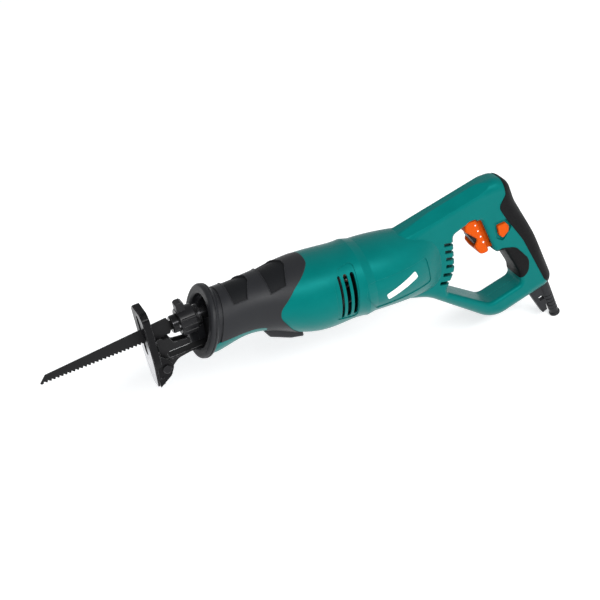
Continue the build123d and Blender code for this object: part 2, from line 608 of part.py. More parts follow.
# ---------------------------------------------------------------- shoe
def shoe():
    """The sliding bracket, its hinge pin and the tilting shoe."""
    px, pz = PIVOT
    strap = block(-86, 14, -5.5, 5.5, -35.8, -33.4)
    nose = side_face([(-14, -35.7, 0), (-12, -33.5, 0), (12, -33.5, 3), (12, -26, 3),
                      (-14, -26, 0), (-16, -20, 2), (3, -17.5, 4), (6, -10.6, 1), (13, -10.6, 1),
                      (14.5, -8.2, 1), (20, -8.2, 2), (px + 2, -34, 3), (px + 4, -46, 4),
                      (px - 5, -47.5, 5), (2, -38, 12)])
    cheeks = side_prism(nose, 5.2)
    eye = cyl(6.6, (px, -7.6, pz), (px, 7.6, pz))
    bracket = strap + cheeks + eye
    bracket -= block(-30, 30, -3.4, 3.4, -23.6, 0)
    bracket -= cyl(PIN_R, (px, -20, pz), (px, 20, pz))
    save(bracket, "shoe_bracket")
    pin = cyl(PIN_R, (px, -12.2, pz), (px, 12.2, pz))
    pin += cyl(PIN_R + 1.6, (px, 11.8, pz), (px, 13.4, pz))
    pin += cyl(PIN_R + 1.6, (px, -13.4, pz), (px, -11.8, pz))
    save(pin, "shoe_pivot_pin")

    outline = [(-18, 26, 6), (-12, 32, 6), (12, 32, 6), (18, 26, 6), (18, -26, 30),
               (9, -62, 8), (-9, -62, 8), (-18, -26, 30)]
    with BuildSketch(Plane.YZ) as plate:
        with BuildLine():
            FilletPolyline(*[(y, z) for y, z, _ in outline], radius=[r for _, _, r in outline],
                           close=True)
        make_face()
    face = plate.sketch
    skirt_depth = 5.0
    tray = Pos(SHOE_X - skirt_depth, 0, 0) * extrude(face, skirt_depth + SHOE_THICK)
    tray -= Pos(SHOE_X - skirt_depth - 1, 0, 0) * extrude(offset(face, -2.6), skirt_depth + 1)
    tray = chamfer([e for e in tray.edges() if abs(e.center().X - SHOE_X - SHOE_THICK) < 0.01], 0.8)
    slot = Plane.YZ * Pos(0, 1) * SlotOverall(48, 9, rotation=90)
    tray -= Pos(SHOE_X - 2, 0, 0) * extrude(slot, 10)
    for y0, y1 in ((8.8, 24), (-24, -8.8)):
        tray -= block(0, SHOE_X - 0.1, y0, y1, pz - 8, pz + 8)
    ear = side_face([(SHOE_X + 1, -16, 0), (14, -31, 6), (px - 8.4, pz + 1, 7), (px - 3, pz - 9.5, 7),
                     (SHOE_X + 1, -60, 0)])
    for side in (1, -1):
        tray += extrude(ear, -2.6 * side).moved(Pos(0, side * 9.0, 0))
    tray -= cyl(PIN_R + RUN_FIT, (px, -20, pz), (px, 20, pz))
    save(tray, "shoe_plate")


# ---------------------------------------------------------------- trigger and handle parts
def trigger_opening():
    """The opening in the handle's front and side walls that the trigger slides through."""
    opening = plain_prism([(-345, -13.7), (-372, -13.7), (-385, -56.4), (-345, -56.4)], 9.1)
    opening += side_prism(side_face(TRIGGER_SWEEP), 13.6)
    return opening + side_prism(side_face(TRIGGER_NOTCH), 40)


def trigger():
    """The two-lobed trigger with the speed dial in its waist, the switch and the spring."""
    out = TRIGGER_DIR * -1
    body = side_prism(side_face(TRIGGER_LOBES), 12.9)
    lips = [e for e in body.edges() if abs(abs(e.center().Y) - 12.9) < 0.01]
    body = fillet(lips, 2.0) + side_prism(side_face(TRIGGER_STEM), 8.5)
    body -= cyl(11.0, DIAL_CENTRE - out * 4.4, DIAL_CENTRE + out * 30)
    body -= cyl(3 + RUN_FIT, DIAL_CENTRE - out * 9.2, DIAL_CENTRE)
    lock_room = block(-376, -366.5, 4.9, 9, -49, -27)
    save(body - lock_room, "trigger")

    dial = cyl(10.4, DIAL_CENTRE - out * 4.0, DIAL_CENTRE + out * 4.2)
    dial = fillet(dial.edges().filter_by(GeomType.CIRCLE), 3.0)
    plane = Plane(origin=DIAL_CENTRE, z_dir=out)
    for k in range(DIAL_NOTCHES):
        angle = tau * k / DIAL_NOTCHES
        dial -= plane * Pos(10.8 * cos(angle), 10.8 * sin(angle), 0) * Cylinder(0.9, 20)
    dial += cyl(3, DIAL_CENTRE - out * 9, DIAL_CENTRE - out * 3)
    save(dial, "speed_dial")

    socket = cyl(3.6, SWITCH_FRONT - TRIGGER_DIR, SWITCH_FRONT + TRIGGER_DIR * 8)
    save(fillet(switch_box(0).edges(), 1.0) - socket, "switch_body")
    spring = tube(3.0, 2.3, SWITCH_FRONT - TRIGGER_DIR * 4.4, SWITCH_FRONT + TRIGGER_DIR * 7.8)
    save(spring, "trigger_spring")


def lock_button():
    """The side button that locks the trigger on, and its return spring."""
    stem = side_face(BUTTON_SIDE)
    button = extrude(stem, -8.2).moved(Pos(0, 9.6, 0))
    top = [e for e in button.edges() if abs(e.center().Y - 17.8) < 0.01]
    button = chamfer(top, 0.7)
    flange = extrude(offset(stem, 1.4), -1.0).moved(Pos(0, 9.3, 0))
    save(button + flange, "lock_button")
    save(tube(3.0, 2.4, (-381.5, 6.1, -35), (-381.5, 9.2, -35)), "lock_button_spring")


def sleeve_axis(distance):
    """A point on the cord sleeve's straight axis, from its root in the handle."""
    return SLEEVE_ROOT + SLEEVE_DIR * distance


def sleeve_socket():
    """The hole in the handle's lower rear corner that grips the sleeve and key holder."""
    hole = cyl(6.5, sleeve_axis(-2), sleeve_axis(20))
    web = plain_prism([(-412, -128), (-430, -128), (-430, -150), (-412, -150)], 3.1)
    return hole + web


def cord_sleeve():
    """The rubber cord sleeve with a key holder moulded to its front."""
    sleeve = cyl(7.4, sleeve_axis(-6), sleeve_axis(-2.4)) + cyl(6.4, sleeve_axis(-2.6), sleeve_axis(18))
    taper_plane = Plane(origin=sleeve_axis(17.9), z_dir=SLEEVE_DIR)
    sleeve += taper_plane * Cone(6.4, 5.3, 38.8, align=(Align.CENTER, Align.CENTER, Align.MIN))
    sleeve += fillet(cyl(6.4, sleeve_axis(56.1), sleeve_axis(59.7)).edges(), 1.0)
    for k in range(5):
        at = 27 + 5.2 * k
        sleeve -= tube(9, 5.0, sleeve_axis(at), sleeve_axis(at + 1.3))
    web = side_face([(-412.5, -129, 0), (-430, -129, 0), (-439, -161, 2), (-434.5, -163, 1.5),
                     (-431, -160, 1), (-433, -170.3, 1), (-426.6, -172.8, 1.5), (-413.2, -143, 4)])
    key_hole = Pos(-426.8, 0, -152.6) * Rot(0, 14, 0) * Box(6.2, 12, 6.2)
    sleeve += side_prism(web, 3.0) - key_hole
    sleeve -= cyl(CORD_BORE_R, sleeve_axis(-20), sleeve_axis(90))
    save(biggest(sleeve), "cord_sleeve")
    bar = block(-424, -412, -14.5, 14.5, -118, -113.8) - cyl(3.4, sleeve_axis(-30), sleeve_axis(30))
    save(biggest(bar), "cord_clamp")


housing()
guard_ring()
gear_housing()
screws()
motor()
crank()
plunger()
shoe()
trigger()
lock_button()
cord_sleeve()
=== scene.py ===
import json
from math import cos, hypot, pi, radians, sin, tau

import bpy
from mathutils import Matrix, Vector
from mathutils.bvhtree import BVHTree


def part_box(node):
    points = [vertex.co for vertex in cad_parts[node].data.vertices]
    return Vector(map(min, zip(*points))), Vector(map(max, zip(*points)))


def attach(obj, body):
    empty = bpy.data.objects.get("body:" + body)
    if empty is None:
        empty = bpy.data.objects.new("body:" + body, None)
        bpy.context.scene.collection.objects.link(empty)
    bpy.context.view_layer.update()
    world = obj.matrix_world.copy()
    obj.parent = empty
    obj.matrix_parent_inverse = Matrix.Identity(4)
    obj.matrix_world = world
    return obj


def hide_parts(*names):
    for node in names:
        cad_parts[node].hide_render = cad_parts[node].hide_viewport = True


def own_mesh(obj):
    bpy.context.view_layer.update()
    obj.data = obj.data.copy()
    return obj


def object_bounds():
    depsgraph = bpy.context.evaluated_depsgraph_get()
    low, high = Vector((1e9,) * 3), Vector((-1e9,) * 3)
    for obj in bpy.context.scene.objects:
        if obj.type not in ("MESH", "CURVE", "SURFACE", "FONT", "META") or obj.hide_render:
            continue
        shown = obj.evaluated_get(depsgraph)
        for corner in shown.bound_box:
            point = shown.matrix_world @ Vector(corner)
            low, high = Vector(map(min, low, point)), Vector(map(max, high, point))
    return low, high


# The visible model of a corded reciprocating saw. Every position below is in the
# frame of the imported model: metres, +X forward along the blade, +Y the tool's left
# side, +Z up, with the origin at the mouth of the blade clamp.

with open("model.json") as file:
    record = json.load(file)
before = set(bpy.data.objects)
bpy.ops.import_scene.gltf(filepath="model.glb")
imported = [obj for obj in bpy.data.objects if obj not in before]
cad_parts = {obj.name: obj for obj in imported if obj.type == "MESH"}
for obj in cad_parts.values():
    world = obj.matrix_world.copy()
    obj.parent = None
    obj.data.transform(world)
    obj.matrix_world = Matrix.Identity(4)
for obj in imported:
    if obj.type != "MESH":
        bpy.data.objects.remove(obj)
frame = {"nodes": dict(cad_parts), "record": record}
cad_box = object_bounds()
nodes = frame["nodes"]

# The trigger slides this way into the handle; its spring's length at rest.
TRIGGER_TRAVEL = Vector((-0.92, 0.0, 0.392))
TRIGGER_SPRING_LENGTH = 0.0122

# Both coils' outer radius, their points to the turn and the turns that lie closed at each end,
# and the sides round each tube that a sweep makes.
SPRING_R = 0.003
TURN_STEPS = 24
CLOSED_TURNS = 0.8
TUBE_SIDES = 8

# The plain bar on each side of the barrel: its middle in a side view, as x and z, and its size.
BADGE_CENTRE = (-0.244, -0.038)
BADGE_TILT = radians(-17)
BADGE_LENGTH = 0.040
BADGE_HEIGHT = 0.0085
BADGE_CORNER = 0.002
BADGE_LIFT = 0.0002

# The dots of the speed scale, from the first to the last, as x and z in a side view.
SCALE_TOP = (-0.3500, -0.0185)
SCALE_END = (-0.3572, -0.0425)
SCALE_DOTS = 4
DOT_SIZE = 0.0016
DOT_GROWTH = 0.0005
DOT_LIFT = 0.00015

# A bar's or dot's rim goes this deep under the surface, then up over the outer edge of its top.
RIM_DEPTH = 0.0002
RIM_RISE = 0.6
RIM_SCALE = 0.985

# Front edge, rear edge and half width of the boot's two sunk panels. The rear edge runs to a
# blunt point further back, and a bead goes round each panel.
BOOT_PANELS = ((-0.064, -0.079, 0.023), (-0.104, -0.121, 0.027))
PANEL_POINT = 0.010
PANEL_POINT_HALF = 0.004
BEAD_R = 0.0005
BEAD_PROUD = 0.2

# Rays that find a surface start this far from the middle plane, outside the whole saw.
RAY_START = 0.09

# The camera that was fitted to the photo: where it looks from and to, and its lens.
VIEW_AZIMUTH = radians(161.95)
VIEW_ELEVATION = radians(32.6)
VIEW_ROLL = radians(-12.1)
VIEW_DISTANCE = 1.554
VIEW_TARGET = Vector((-0.1415, 0.0, -0.0313))
VIEW_LENS = 88.2

# The world's strength behind the saw and behind the camera, and the tilt of its bright side.
WORLD_FAR = 0.55
WORLD_NEAR = 0.64
WORLD_TILT = 5

# The floor's own light and its reach each way, and how far the camera sees over it.
FLOOR_GLOW = 0.35
FLOOR_REACH = 60.0
SIGHT = 150

# Each softbox: azimuth and elevation in degrees, distance, width, height and watts.
LIGHTS = (
    ("strip", 192, 40, 2.1, 1.8, 0.5, 42),
    ("front", 150, 20, 2.3, 0.8, 0.8, 6),
)

# Where a noise pattern's useful range starts and ends.
NOISE_LOW = 0.3
NOISE_HIGH = 0.7
BEVEL_SAMPLES = 4


# ------------------------------------------------------------------ camera and stage
def direction(azimuth, elevation):
    """The unit vector towards a camera at that azimuth and elevation."""
    flat = cos(elevation)
    return Vector((sin(azimuth) * flat, -cos(azimuth) * flat, sin(elevation)))


def add_camera():
    back = direction(VIEW_AZIMUTH, VIEW_ELEVATION)
    right = Vector((0, 0, 1)).cross(back).normalized()
    up = back.cross(right)
    turn = Matrix((right, up, back)).transposed() @ Matrix.Rotation(VIEW_ROLL, 3, "Z")
    camera = bpy.data.objects.new("camera", bpy.data.cameras.new("camera"))
    camera.data.lens = VIEW_LENS
    camera.data.clip_end = SIGHT
    camera.matrix_world = Matrix.Translation(VIEW_TARGET + back * VIEW_DISTANCE) @ turn.to_4x4()
    bpy.context.scene.collection.objects.link(camera)
    bpy.context.scene.camera = camera


def add_light(name, azimuth, elevation, distance, width, height, watts):
    """A softbox that looks at the middle of the saw."""
    lamp = bpy.data.lights.new(name, "AREA")
    lamp.shape = "RECTANGLE"
    lamp.size = width
    lamp.size_y = height
    lamp.energy = watts
    holder = bpy.data.objects.new(name, lamp)
    towards = direction(radians(azimuth), radians(elevation))
    turn = towards.to_track_quat("Z", "Y").to_matrix().to_4x4()
    holder.matrix_world = Matrix.Translation(VIEW_TARGET + towards * distance) @ turn
    bpy.context.scene.collection.objects.link(holder)


def add_world():
    """Even light from all round, stronger on the side that the camera stands on."""
    world = bpy.data.worlds.new("studio")
    world.use_nodes = True
    links = world.node_tree.links
    backdrop = world.node_tree.nodes["Background"]
    backdrop.inputs["Color"].default_value = (0.96, 0.98, 1.0, 1)
    place = world.node_tree.nodes.new("ShaderNodeTexCoord")
    toward = world.node_tree.nodes.new("ShaderNodeVectorMath")
    toward.operation = "DOT_PRODUCT"
    toward.inputs[1].default_value = direction(VIEW_AZIMUTH, radians(WORLD_TILT))
    links.new(place.outputs["Generated"], toward.inputs[0])
    strength = world.node_tree.nodes.new("ShaderNodeMapRange")
    strength.inputs["From Min"].default_value = -0.6
    strength.inputs["To Min"].default_value = WORLD_FAR
    strength.inputs["To Max"].default_value = WORLD_NEAR
    links.new(toward.outputs["Value"], strength.inputs["Value"])
    links.new(strength.outputs[0], backdrop.inputs["Strength"])
    bpy.context.scene.world = world
    bpy.context.scene.view_settings.view_transform = "Standard"


def add_floor():
    """A wide plain floor, level with the lowest point of the saw."""
    level = cad_box[0][2]
    mesh = bpy.data.meshes.new("floor")
    far = FLOOR_REACH
    corners = [(-far, -far, level), (far, -far, level), (far, far, level), (-far, far, level)]
    mesh.from_pydata(corners, [], [(0, 1, 2, 3)])
    floor = bpy.data.objects.new("floor", mesh)
    bpy.context.scene.collection.objects.link(floor)
    paint = Finish("floor_paint", (0.93, 0.93, 0.93), 0.8, specular=0.2)
    paint.shader.inputs["Emission Color"].default_value = (1, 1, 1, 1)
    paint.shader.inputs["Emission Strength"].default_value = FLOOR_GLOW
    paint.tint(12, 0.01)
    paint.grain(400, 0.0003, 0.05)
    mesh.materials.append(paint.material)


# ------------------------------------------------------------------ finishes
class Finish:
    """A node material built up in layers: soft edges, tint, grain and edge wear."""

    def __init__(self, name, colour, roughness, metallic=0.0, specular=0.5, gloss_tint=(1, 1, 1)):
        self.material = bpy.data.materials.new(name)
        self.material.use_nodes = True
        self.nodes = self.material.node_tree.nodes
        self.links = self.material.node_tree.links
        self.shader = self.nodes["Principled BSDF"]
        self.shader.inputs["Metallic"].default_value = metallic
        self.shader.inputs["Specular IOR Level"].default_value = specular
        self.shader.inputs["Specular Tint"].default_value = (*gloss_tint, 1)
        self.place = self.nodes.new("ShaderNodeTexCoord").outputs["Object"]
        colour_node = self.nodes.new("ShaderNodeRGB")
        colour_node.outputs[0].default_value = (*colour, 1)
        self.colour = colour_node.outputs[0]
        rough_node = self.nodes.new("ShaderNodeValue")
        rough_node.outputs[0].default_value = roughness
        self.roughness = rough_node.outputs[0]
        self.normal = None
        self.connect()

    def connect(self):
        self.links.new(self.colour, self.shader.inputs["Base Color"])
        self.links.new(self.roughness, self.shader.inputs["Roughness"])
        if self.normal:
            self.links.new(self.normal, self.shader.inputs["Normal"])

    def noise(self, scale, detail=3.0, stretch=(1, 1, 1)):
        """A noise pattern with that many features to the metre."""
        spread = self.nodes.new("ShaderNodeMapping")
        spread.inputs["Scale"].default_value = stretch
        self.links.new(self.place, spread.inputs["Vector"])
        pattern = self.nodes.new("ShaderNodeTexNoise")
        pattern.inputs["Scale"].default_value = scale
        pattern.inputs["Detail"].default_value = detail
        self.links.new(spread.outputs[0], pattern.inputs["Vector"])
        return pattern.outputs["Fac"]

    def math(self, operation, first, second, clamp=False):
        node = self.nodes.new("ShaderNodeMath")
        node.operation = operation
        node.use_clamp = clamp
        for socket, value in zip(node.inputs, (first, second)):
            if isinstance(value, (int, float)):
                socket.default_value = value
            else:
                self.links.new(value, socket)
        return node.outputs[0]

    def spread(self, value, low, high, to_low, to_high):
        """The value's range from low to high, mapped on another range."""
        node = self.nodes.new("ShaderNodeMapRange")
        node.inputs["From Min"].default_value = low
        node.inputs["From Max"].default_value = high
        node.inputs["To Min"].default_value = to_low
        node.inputs["To Max"].default_value = to_high
        self.links.new(value, node.inputs["Value"])
        return node.outputs[0]

    def above(self, value, level, blur):
        """A mask that is 1 where value is over that level."""
        return self.spread(value, level - blur, level + blur, 0.0, 1.0)

    def part(self, source, axis):
        """One coordinate of the place or of the surface's own direction."""
        node = self.nodes.new("ShaderNodeSeparateXYZ")
        self.links.new(source, node.inputs[0])
        return node.outputs[axis]

    def facing(self):
        """The surface's direction in the piece's own frame."""
        return self.nodes.new("ShaderNodeTexCoord").outputs["Normal"]

    def mix_colour(self, amount, colour):
        """Lay another colour over this one where amount is high."""
        node = self.nodes.new("ShaderNodeMix")
        node.data_type = "RGBA"
        self.links.new(amount, node.inputs["Factor"])
        self.links.new(self.colour, node.inputs["A"])
        node.inputs["B"].default_value = (*colour, 1)
        self.colour = node.outputs["Result"]
        self.connect()

    def tint(self, scale, amount):
        """Slow changes of shade over the surface, and of roughness with it."""
        pattern = self.noise(scale)
        node = self.nodes.new("ShaderNodeHueSaturation")
        self.links.new(self.colour, node.inputs["Color"])
        shade = self.spread(pattern, NOISE_LOW, NOISE_HIGH, 1 - amount, 1 + amount)
        self.links.new(shade, node.inputs["Value"])
        self.colour = node.outputs[0]
        shift = self.spread(pattern, NOISE_LOW, NOISE_HIGH, -amount, amount)
        self.roughness = self.math("ADD", self.roughness, shift, clamp=True)
        self.connect()

    def raise_by(self, height, distance, strength):
        """Bump from a height pattern."""
        node = self.nodes.new("ShaderNodeBump")
        node.inputs["Distance"].default_value = distance
        node.inputs["Strength"].default_value = strength
        self.links.new(height, node.inputs["Height"])
        if self.normal:
            self.links.new(self.normal, node.inputs["Normal"])
        self.normal = node.outputs[0]
        self.connect()

    def grain(self, scale, depth, speckle, stretch=(1, 1, 1)):
        """Fine moulded grain: bump, and a little speckle in the gloss."""
        pattern = self.noise(scale, 2.0, stretch)
        self.raise_by(pattern, depth, 0.35)
        shift = self.spread(pattern, 0.35, 0.65, -speckle, speckle)
        self.roughness = self.math("ADD", self.roughness, shift, clamp=True)
        self.connect()

    def soft_edges(self, radius):
        """Round the shading over sharp edges."""
        node = self.nodes.new("ShaderNodeBevel")
        node.samples = BEVEL_SAMPLES
        node.inputs["Radius"].default_value = radius
        self.normal = node.outputs[0]
        self.connect()

    def wear(self, radius, colour, amount, roughness_shift=0.0):
        """Rubbed edges: where the bevelled normal leaves the true one."""
        bevel = self.nodes.new("ShaderNodeBevel")
        bevel.samples = BEVEL_SAMPLES
        bevel.inputs["Radius"].default_value = radius
        true_normal = self.nodes.new("ShaderNodeNewGeometry").outputs["Normal"]
        dot = self.nodes.new("ShaderNodeVectorMath")
        dot.operation = "DOT_PRODUCT"
        self.links.new(bevel.outputs[0], dot.inputs[0])
        self.links.new(true_normal, dot.inputs[1])
        edge = self.spread(dot.outputs["Value"], 0.995, 0.86, 0.0, 1.0)
        patchy = self.spread(self.noise(260, 4.0), 0.42, 0.62, 0.0, 1.0)
        mask = self.math("MULTIPLY", self.math("MULTIPLY", edge, patchy), amount, clamp=True)
        self.mix_colour(mask, colour)
        if roughness_shift:
            shift = self.math("MULTIPLY", mask, roughness_shift)
            self.roughness = self.math("ADD", self.roughness, shift, clamp=True)
            self.connect()


def housing_plastic():
    finish = Finish("teal_plastic", (0.0, 0.108, 0.100), 0.38, specular=0.28, gloss_tint=(0.08, 1.0, 0.97))
    finish.soft_edges(0.0005)
    finish.tint(9, 0.05)
    finish.tint(60, 0.03)
    finish.grain(2600, 0.00012, 0.05)
    finish.wear(0.0006, (0.02, 0.33, 0.30), 0.35, 0.1)
    return finish.material


def grip_rubber():
    finish = Finish("black_rubber", (0.0125, 0.013, 0.015), 0.45, specular=0.2)
    finish.soft_edges(0.0006)
    finish.tint(14, 0.12)
    finish.grain(1900, 0.0002, 0.06)
    finish.wear(0.0008, (0.075, 0.075, 0.078), 0.4, 0.1)
    return finish.material


def orange_plastic():
    finish = Finish("orange_plastic", (0.50, 0.062, 0.002), 0.42, specular=0.2, gloss_tint=(1.0, 0.35, 0.1))
    finish.soft_edges(0.0004)
    finish.tint(40, 0.05)
    finish.grain(2600, 0.00008, 0.05)
    finish.wear(0.0005, (0.9, 0.35, 0.12), 0.35)
    return finish.material


def black_plastic():
    finish = Finish("black_plastic", (0.006, 0.006, 0.007), 0.34, specular=0.2)
    finish.soft_edges(0.0004)
    finish.tint(30, 0.1)
    finish.grain(2200, 0.0001, 0.06)
    finish.wear(0.0005, (0.07, 0.07, 0.072), 0.5, 0.1)
    return finish.material


def metal(name, colour, roughness, grain_scale=900, stretch=(1, 1, 1), depth=0.00006, worn=(0.8, 0.8, 0.8)):
    finish = Finish(name, colour, roughness, metallic=1.0)
    finish.soft_edges(0.0003)
    finish.tint(25, 0.06)
    finish.grain(grain_scale, depth, 0.08, stretch)
    finish.wear(0.0004, worn, 0.4, -0.05)
    return finish.material


def shoe_steel():
    """Black steel with a painted reflection: its front face below the blade's slot is painted pale bright
    metal.
    """
    finish = Finish("shoe_steel", (0.0035, 0.0035, 0.004), 0.30, specular=0.1)
    finish.soft_edges(0.0004)
    finish.tint(35, 0.12)
    finish.grain(1500, 0.00008, 0.08)
    # Painted reflection: pale metal on the front-facing faces below the slot, streaked and fading upwards,
    # stands for light reflected there.
    front = finish.above(finish.part(finish.facing(), "X"), 0.9, 0.05)
    height = finish.part(finish.place, "Z")
    ripple = finish.spread(finish.noise(90, 4.0), NOISE_LOW, NOISE_HIGH, -0.004, 0.004)
    ragged = finish.math("ADD", height, ripple)
    low = finish.spread(ragged, -0.014, -0.005, 1.0, 0.0)
    painted_reflection = finish.math("MULTIPLY", front, low, clamp=True)
    reflection_streaks = finish.spread(finish.noise(420, 3.0, (1, 6, 0.4)), NOISE_LOW, NOISE_HIGH, 0.75, 1.0)
    painted_reflection = finish.math("MULTIPLY", painted_reflection, reflection_streaks, clamp=True)
    finish.mix_colour(painted_reflection, (0.62, 0.62, 0.64))
    finish.links.new(finish.math("MULTIPLY", painted_reflection, 0.85), finish.shader.inputs["Metallic"])
    finish.wear(0.0006, (0.30, 0.30, 0.31), 0.5, -0.05)
    return finish.material


def pad_rubber():
    """The smoother, blacker rubber of the two grip pads."""
    finish = Finish("pad_rubber", (0.003, 0.003, 0.0034), 0.5, specular=0.10)
    finish.soft_edges(0.0006)
    finish.tint(18, 0.12)
    finish.grain(1300, 0.0003, 0.07)
    finish.wear(0.0008, (0.06, 0.06, 0.062), 0.35, 0.1)
    return finish.material


def panel_rubber():
    """The darker, finely pebbled rubber of the boot's sunk panels."""
    finish = Finish("panel_rubber", (0.0055, 0.006, 0.007), 0.55, specular=0.12)
    finish.soft_edges(0.0005)
    finish.tint(20, 0.1)
    finish.grain(900, 0.0004, 0.08)
    return finish.material


def coated_steel(name, colour, roughness, metallic):
    finish = Finish(name, colour, roughness, metallic=metallic, specular=0.12)
    finish.soft_edges(0.0004)
    finish.tint(35, 0.12)
    finish.grain(1500, 0.00008, 0.08)
    finish.wear(0.0006, (0.42, 0.42, 0.43), 0.6, -0.05)
    return finish.material


def pale_print():
    """Off-white pad print."""
    finish = Finish("pale_print", (0.80, 0.82, 0.81), 0.5, specular=0.3)
    finish.tint(120, 0.04)
    finish.grain(2600, 0.00006, 0.05)
    finish.wear(0.0004, (0.45, 0.62, 0.58), 0.5)
    return finish.material


def blade_steel():
    """Blackened blade steel, bare only at the tips of the teeth."""
    finish = Finish("blade_steel", (0.0085, 0.0085, 0.009), 0.46, specular=0.1)
    finish.tint(45, 0.15)
    finish.grain(1400, 0.00008, 0.08, (0.3, 1, 1))
    finish.wear(0.0003, (0.34, 0.34, 0.35), 0.35, -0.05)
    return finish.material


def felt():
    finish = Finish("felt", (0.16, 0.145, 0.12), 0.95, specular=0.2)
    finish.tint(300, 0.15)
    finish.grain(3500, 0.0006, 0.03, (1, 1, 0.2))
    return finish.material


finishes = {
    "teal_plastic": housing_plastic(),
    "black_rubber": grip_rubber(),
    "orange_plastic": orange_plastic(),
    "black_plastic": black_plastic(),
    # Near-black gear housing: it shows only in the ring's hollow, and this dark colour is painted shade for
    # the dark there.
    "cast_alloy": coated_steel("cast_alloy", (0.006, 0.006, 0.0065), 0.5, 0.0),
    "steel": metal("steel", (0.56, 0.56, 0.57), 0.28, 2500, (1, 0.15, 1)),
    "black_steel": coated_steel("black_steel", (0.008, 0.008, 0.0085), 0.36, 0.0),
    "blade_steel": blade_steel(),
    "core_steel": metal("core_steel", (0.30, 0.30, 0.31), 0.45, 1800, (6, 0.4, 0.4)),
    "copper": metal("copper", (0.30, 0.12, 0.055), 0.4, 2200, (0.2, 3, 3), worn=(0.8, 0.5, 0.3)),
    "bronze": metal("bronze", (0.55, 0.40, 0.20), 0.42, 2600, worn=(0.7, 0.55, 0.35)),
    "carbon": coated_steel("carbon", (0.03, 0.03, 0.032), 0.6, 0.1),
    "felt": felt(),
    "pale_print": pale_print(),
}


def dress_nodes():
    """Give every CAD node the finish of its material slot."""
    for part in frame["record"]["subparts"]:
        mesh = nodes[part["node"]].data
        mesh.materials.clear()
        mesh.materials.append(finishes[part["material_slot"]])
    nodes["shoe_plate"].data.materials[0] = shoe_steel()
    pads = pad_rubber()
    for name in ("rear_grip_pad", "finger_grip_pad"):
        nodes[name].data.materials[0] = pads
    # Near-black steel: on the clamp body, front bushing and plunger rod, seen in the ring's hollow, it is
    # painted shade for the dark there; on the pivot pin it is the pin's own dark colour, and the clamp
    # spring is out of sight.
    near_black_steel = coated_steel("near_black_steel_finish", (0.016, 0.016, 0.017), 0.26, 0.7)
    for name in ("blade_clamp_body", "clamp_spring", "front_bushing", "plunger_rod", "shoe_pivot_pin"):
        nodes[name].data.materials[0] = near_black_steel
    dress_boot_panels()


def dress_boot_panels():
    """Lay the pebbled finish on the floors of the boot's sunk panels."""
    mesh = nodes["front_boot"].data
    mesh.materials.append(panel_rubber())
    for face in mesh.polygons:
        x, y = face.center.x, abs(face.center.y)
        for front, rear, reach in BOOT_PANELS:
            inward = min(max((reach - y) / (reach - PANEL_POINT_HALF), 0.0), 1.0)
            slope_x = rear - PANEL_POINT * inward
            if slope_x < x < front and y < reach and face.normal.z > 0.1:
                face.material_index = 1


# ------------------------------------------------------------------ finer pieces
def new_piece(name, body, slot, verts, faces):
    """A mesh piece in the shared frame that rides on a body."""
    mesh = bpy.data.meshes.new(name)
    mesh.from_pydata(verts, [], faces)
    mesh.validate()
    mesh.polygons.foreach_set("use_smooth", [True] * len(mesh.polygons))
    mesh.materials.append(finishes[slot])
    piece = bpy.data.objects.new(name, mesh)
    bpy.context.scene.collection.objects.link(piece)
    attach(piece, body)
    return piece


def divided(outline, gap):
    """The same closed outline with more points along its longer runs."""
    points = []
    for i, start in enumerate(outline):
        end = outline[(i + 1) % len(outline)]
        parts = max(1, round(hypot(end[0] - start[0], end[1] - start[1]) / gap))
        for k in range(parts):
            share = k / parts
            points.append((start[0] + (end[0] - start[0]) * share, start[1] + (end[1] - start[1]) * share))
    return points


def sweep(path, radius, loop=False):
    """A round tube's points and faces along a list of points, as a loop or capped at both ends."""
    verts, faces = [], []
    sides = TUBE_SIDES
    normal = None
    last = len(path) - 1
    for i, point in enumerate(path):
        if loop:
            tangent = (path[(i + 1) % len(path)] - path[i - 1]).normalized()
        else:
            tangent = (path[min(i + 1, last)] - path[max(i - 1, 0)]).normalized()
        if normal is None:
            normal = tangent.orthogonal().normalized()
        normal = (normal - tangent * normal.dot(tangent)).normalized()
        across = tangent.cross(normal)
        for k in range(sides):
            angle = tau * k / sides
            verts.append(point + (normal * cos(angle) + across * sin(angle)) * radius)
    for i in range(last):
        for k in range(sides):
            a, b = i * sides + k, i * sides + (k + 1) % sides
            faces.append((a, b, b + sides, a + sides))
    if loop:
        turn = min(range(sides), key=lambda k: (verts[last * sides] - verts[k]).length)
        for k in range(sides):
            a, b = last * sides + k, last * sides + (k + 1) % sides
            faces.append((a, b, (k + 1 + turn) % sides, (k + turn) % sides))
    else:
        faces.append(tuple(reversed(range(sides))))
        faces.append(tuple(range(last * sides, (last + 1) * sides)))
    return verts, faces


def coil(start, end, radius, wire, turns):
    """The centre line of a coil spring with closed ends, from start to end."""
    axis = (end - start).normalized()
    length = (end - start).length - 2 * wire
    side = axis.orthogonal().normalized()
    other = axis.cross(side)
    steps = int(turns * TURN_STEPS)
    points = []
    for i in range(steps + 1):
        along = i / steps
        eased = (along * turns - CLOSED_TURNS) / (turns - 2 * CLOSED_TURNS)
        eased = min(max(eased, 0.0), 1.0)
        angle = tau * turns * along
        points.append(start + axis * (wire + length * eased)
                      + (side * cos(angle) + other * sin(angle)) * (radius - wire))
    return points


def coil_piece(name, node, start, end, wire, turns):
    """A coil spring that stands for the CAD's plain sleeve."""
    verts, faces = sweep(coil(start, end, SPRING_R, wire, turns), wire)
    piece = new_piece(name, "saw", "steel", verts, faces)
    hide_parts(node)
    return piece


